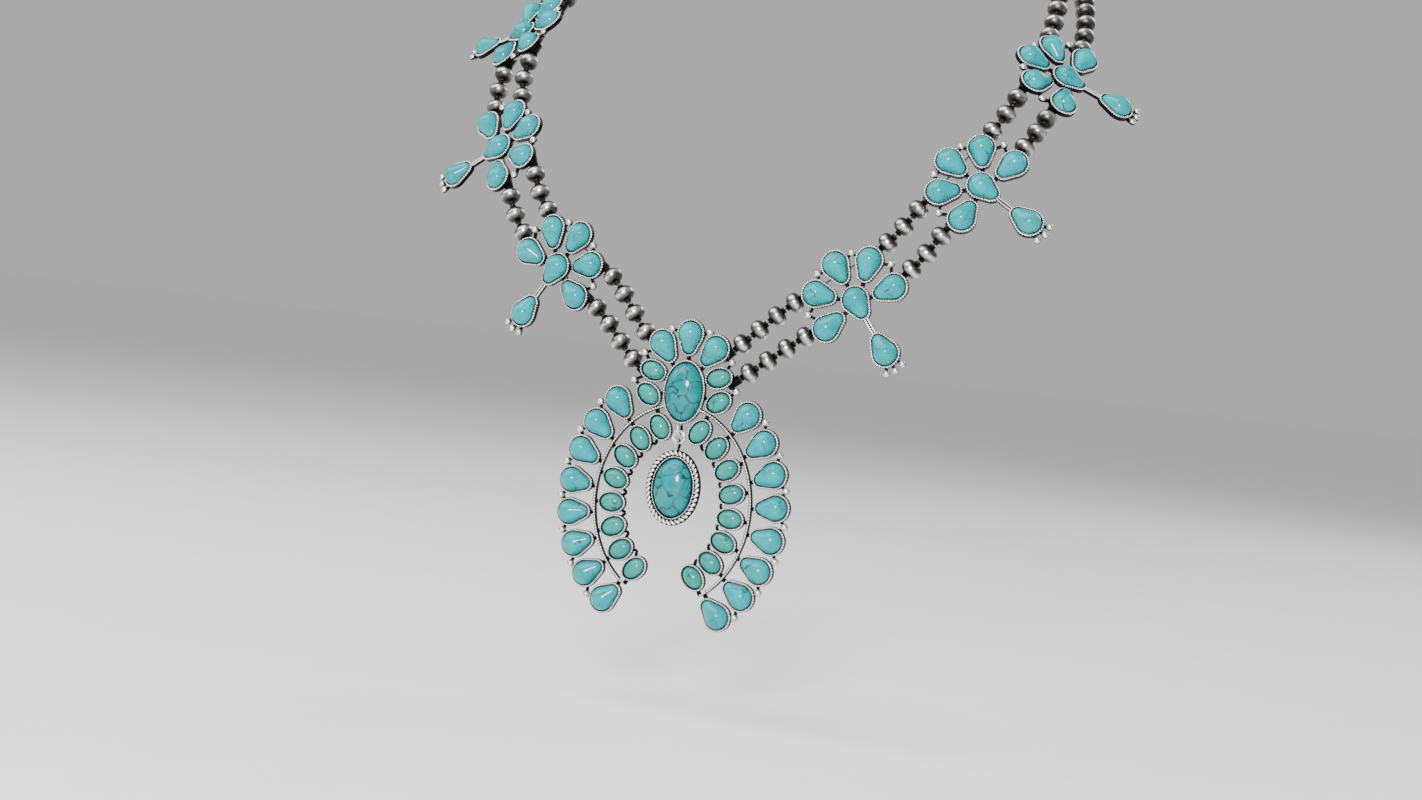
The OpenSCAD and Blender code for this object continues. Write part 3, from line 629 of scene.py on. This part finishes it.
def bead_silver_with_painted_light(name):
    look = Look(name, Metallic=1.0)
    place = look.coordinates()
    along = look.node("Attribute", attribute_name="along").outputs["Fac"]
    uneven = look.math("SUBTRACT", look.noise(place, 500.0, 4.0, 0.6), 0.5)
    end = look.math("ADD", along, look.math("MULTIPLY", uneven, 0.5))
    # Painted light: the bright band round the rim is partly a painted highlight, and the darkening
    # towards the holes is partly painted shade between beads.
    color = look.mix(look.fade(end, 0.02, 0.36), (0.68, 0.65, 0.62), (0.15, 0.142, 0.138))
    color = look.mix(look.fade(end, 0.32, 0.68), color, (0.014, 0.013, 0.012))
    specks = look.fade(look.noise(place, 1800.0, 4.0, 0.7), 0.5, 0.7, 0.0, 0.6)
    color = look.mix(specks, color, (0.06, 0.056, 0.053))
    rough = look.math("ADD", look.fade(end, 0.0, 0.8, 0.22, 0.42),
                      look.math("MULTIPLY", specks, 0.2))
    return look.finish(color, rough, look.noise(place, 1400.0, 4.0, 0.6), relief=0.00004)


bead_metal_with_painted_light = bead_silver_with_painted_light("blackened and rubbed silver of the beads")


def bead_form():
    """One bead with its axis along Z, and how far each point is from the rim along the axis."""
    profile = [(bead_hole_r, -bead_half), (bead_collar_r * 0.94, -bead_half),
               (bead_collar_r, -bead_half * 0.97), (bead_collar_r, -bead_body_half * 0.99)]
    core = bead_r * (1 - bead_rim_out) - bead_body_half
    for degrees in bead_slopes:
        turn = math.radians(degrees)
        profile.append((core + bead_body_half * math.cos(turn), bead_body_half * math.sin(turn)))
    profile.append((bead_r, -bead_rim_half))
    profile += [(r, -z) for r, z in reversed(profile)]
    points, faces, many = [], [], len(profile)
    for i in range(bead_sides):
        turn = 2 * math.pi * i / bead_sides
        points += [(r * math.cos(turn), r * math.sin(turn), z) for r, z in profile]
    for i in range(bead_sides):
        n = (i + 1) % bead_sides
        for j in range(many):
            k = (j + 1) % many
            faces.append((i * many + j, n * many + j, n * many + k, i * many + k))
    mesh = bpy.data.meshes.new("bead")
    mesh.from_pydata(points, [], faces)
    made = new_object("bead_form", mesh)
    outward(made)
    values = made.data.attributes.new("along", "FLOAT", "POINT")
    for value, point in zip(values.data, points):
        value.value = abs(point[2]) / bead_half
    return made


def bead_places(node):
    """Each bead's middle and the direction of its hole, from the CAD beads."""
    places = []
    for points, triangles in loose_parts(node):
        a, b, c = (points[triangles[:, k]] for k in range(3))
        areas = np.linalg.norm(np.cross(b - a, c - a), axis=1)
        middles = (a + b + c) / 3
        center = (middles * areas[:, None]).sum(axis=0) / areas.sum()
        spread = (middles - center).T @ ((middles - center) * areas[:, None])
        ways = np.linalg.eigh(spread)[1]
        places.append((center, ways[:, 0]))
    return places


def beads_tree():
    grower = Grower("strung beads", Bead="OBJECT", Material="MATERIAL")
    axis = grower.node("GeometryNodeInputNamedAttribute", {"Name": "axis"},
                       data_type="FLOAT_VECTOR")["Attribute"]
    turn = grower.node("FunctionNodeAlignRotationToVector", {"Vector": axis}, axis="Z")["Rotation"]
    bead = grower.node("GeometryNodeObjectInfo", {"Object": grower.given["Bead"]})["Geometry"]
    set_out = grower.node("GeometryNodeInstanceOnPoints", {
        "Points": grower.given["Geometry"], "Instance": bead, "Rotation": turn})["Instances"]
    return grower.finish(set_out)


strung_beads = beads_tree()
form = bead_form()
strings = {}
for side in ("left", "right"):
    for row in ("upper", "lower"):
        for part in ("front", "back"):
            node = "_".join(("beads", side, row, part))
            places = bead_places(node)
            strings.setdefault((side, row), []).extend(places)
            mesh = bpy.data.meshes.new("places")
            mesh.from_pydata([tuple(c) for c, _ in places], [], [])
            axes = mesh.attributes.new("axis", "FLOAT_VECTOR", "POINT")
            for value, (_, way) in zip(axes.data, places):
                value.vector = way
            beads = grown(node + "_pressed", mesh, strung_beads, Bead=form, Material=bead_metal_with_painted_light)
            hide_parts(node)
            finished(beads, "necklace")
bpy.data.objects.remove(form)

# Thread. The beads are strung on a dark waxed thread of two plies, which shows between them and
# behind the blossoms.
thread_ply_r = 0.0002
thread_turn_r = 0.00016
thread_lay = 0.0016
thread_step = 0.0004
thread_sides = 6
thread_tail = 0.0029


def waxed_thread(name):
    look = Look(name, Sheen_Weight=0.2)
    place = look.coordinates()
    fibres = look.noise(place, 5000.0, 3.0, 0.7)
    color = look.mix(fibres, (0.012, 0.011, 0.010), (0.07, 0.062, 0.055))
    return look.finish(color, look.fade(fibres, 0.2, 0.8, 0.5, 0.8), fibres, relief=0.00003)


thread_material = waxed_thread("dark waxed thread")
for (side, row), places in strings.items():
    left = sorted(places, key=lambda p: p[0][2])
    chain = [left.pop(0)]
    while left:
        last = chain[-1][0]
        nearest = min(range(len(left)), key=lambda i: np.linalg.norm(left[i][0] - last))
        chain.append(left.pop(nearest))
    points = []
    for i, (center, way) in enumerate(chain):
        ahead = chain[min(i + 1, len(chain) - 1)][0] - chain[max(i - 1, 0)][0]
        way = way if way @ ahead > 0 else -way
        points += [center - way * bead_half, center, center + way * bead_half]
        if i == 0:
            points.insert(0, center - way * (bead_half + thread_tail))
        if i == len(chain) - 1:
            points.append(center + way * (bead_half + thread_tail))
    points = np.array(points)
    length = np.linalg.norm(np.diff(points, axis=0), axis=1).sum()
    name = "_".join(("thread", side, row))
    thread = grown(name + "_plies", line_mesh("lines", [points], False), twisted,
                   Step=thread_step, Strand_radius=thread_ply_r, Turn_radius=thread_turn_r,
                   Turns=float(round(length / thread_lay)), Strands=2, Sides=thread_sides,
                   Material=thread_material)
    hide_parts(name)
    finished(thread, "necklace")

# Clasp. One small plain silver bar behind the neck takes the ends of both threads of each side.
dress("clasp", bright_silver("worn silver of the clasp", dark_share=0.85,
                             tone=(0.55, 0.53, 0.5)))

# Floor and light. A wide pale floor lies below the necklace. A smaller soft lamp stands behind and
# above the camera, and three large ones above, to the side and behind the necklace.
floor_drop = 0.03
floor_half = 40.0
floor_level = cad_box[0][2] - floor_drop
floor_mesh = bpy.data.meshes.new("floor")
floor_corners = ((-1, -1), (1, -1), (1, 1), (-1, 1))
floor_mesh.from_pydata([(x * floor_half, y * floor_half, floor_level) for x, y in floor_corners],
                       [], [(0, 1, 2, 3)])
floor_look = Look("pale floor", Roughness=1.0, Specular_IOR_Level=0.0)
floor_tone = floor_look.fade(floor_look.noise(floor_look.coordinates(), 40.0, 2.0), 0.3, 0.7)
floor_mesh.materials.append(floor_look.finish(
    floor_look.mix(floor_tone, (0.93, 0.93, 0.925), (0.95, 0.95, 0.945))))
floor = new_object("floor", floor_mesh)

world = bpy.data.worlds.new("studio")
world.use_nodes = True
world.node_tree.nodes["Background"].inputs["Color"].default_value = (1, 1, 1, 1)
world.node_tree.nodes["Background"].inputs["Strength"].default_value = 0.5
bpy.context.scene.world = world


def lamp(name, place, target, size, power):
    data = bpy.data.lights.new(name, "AREA")
    data.shape = "DISK"
    data.size = size
    data.energy = power
    made = new_object(name, data)
    made.location = place
    made.rotation_euler = (Vector(target) - Vector(place)).to_track_quat("-Z", "Y").to_euler()


naja_middle = (0.0, -0.14, -0.17)
lamp("front lamp", (0.36, -1.55, 0.32), naja_middle, size=0.36, power=34.0)
lamp("top lamp", (-0.35, -0.6, 0.95), naja_middle, size=1.0, power=13.0)
lamp("side lamp", (-1.3, -0.5, 0.8), naja_middle, size=1.0, power=10.0)
lamp("back lamp", (0.7, 1.3, 0.9), naja_middle, size=1.0, power=12.0)
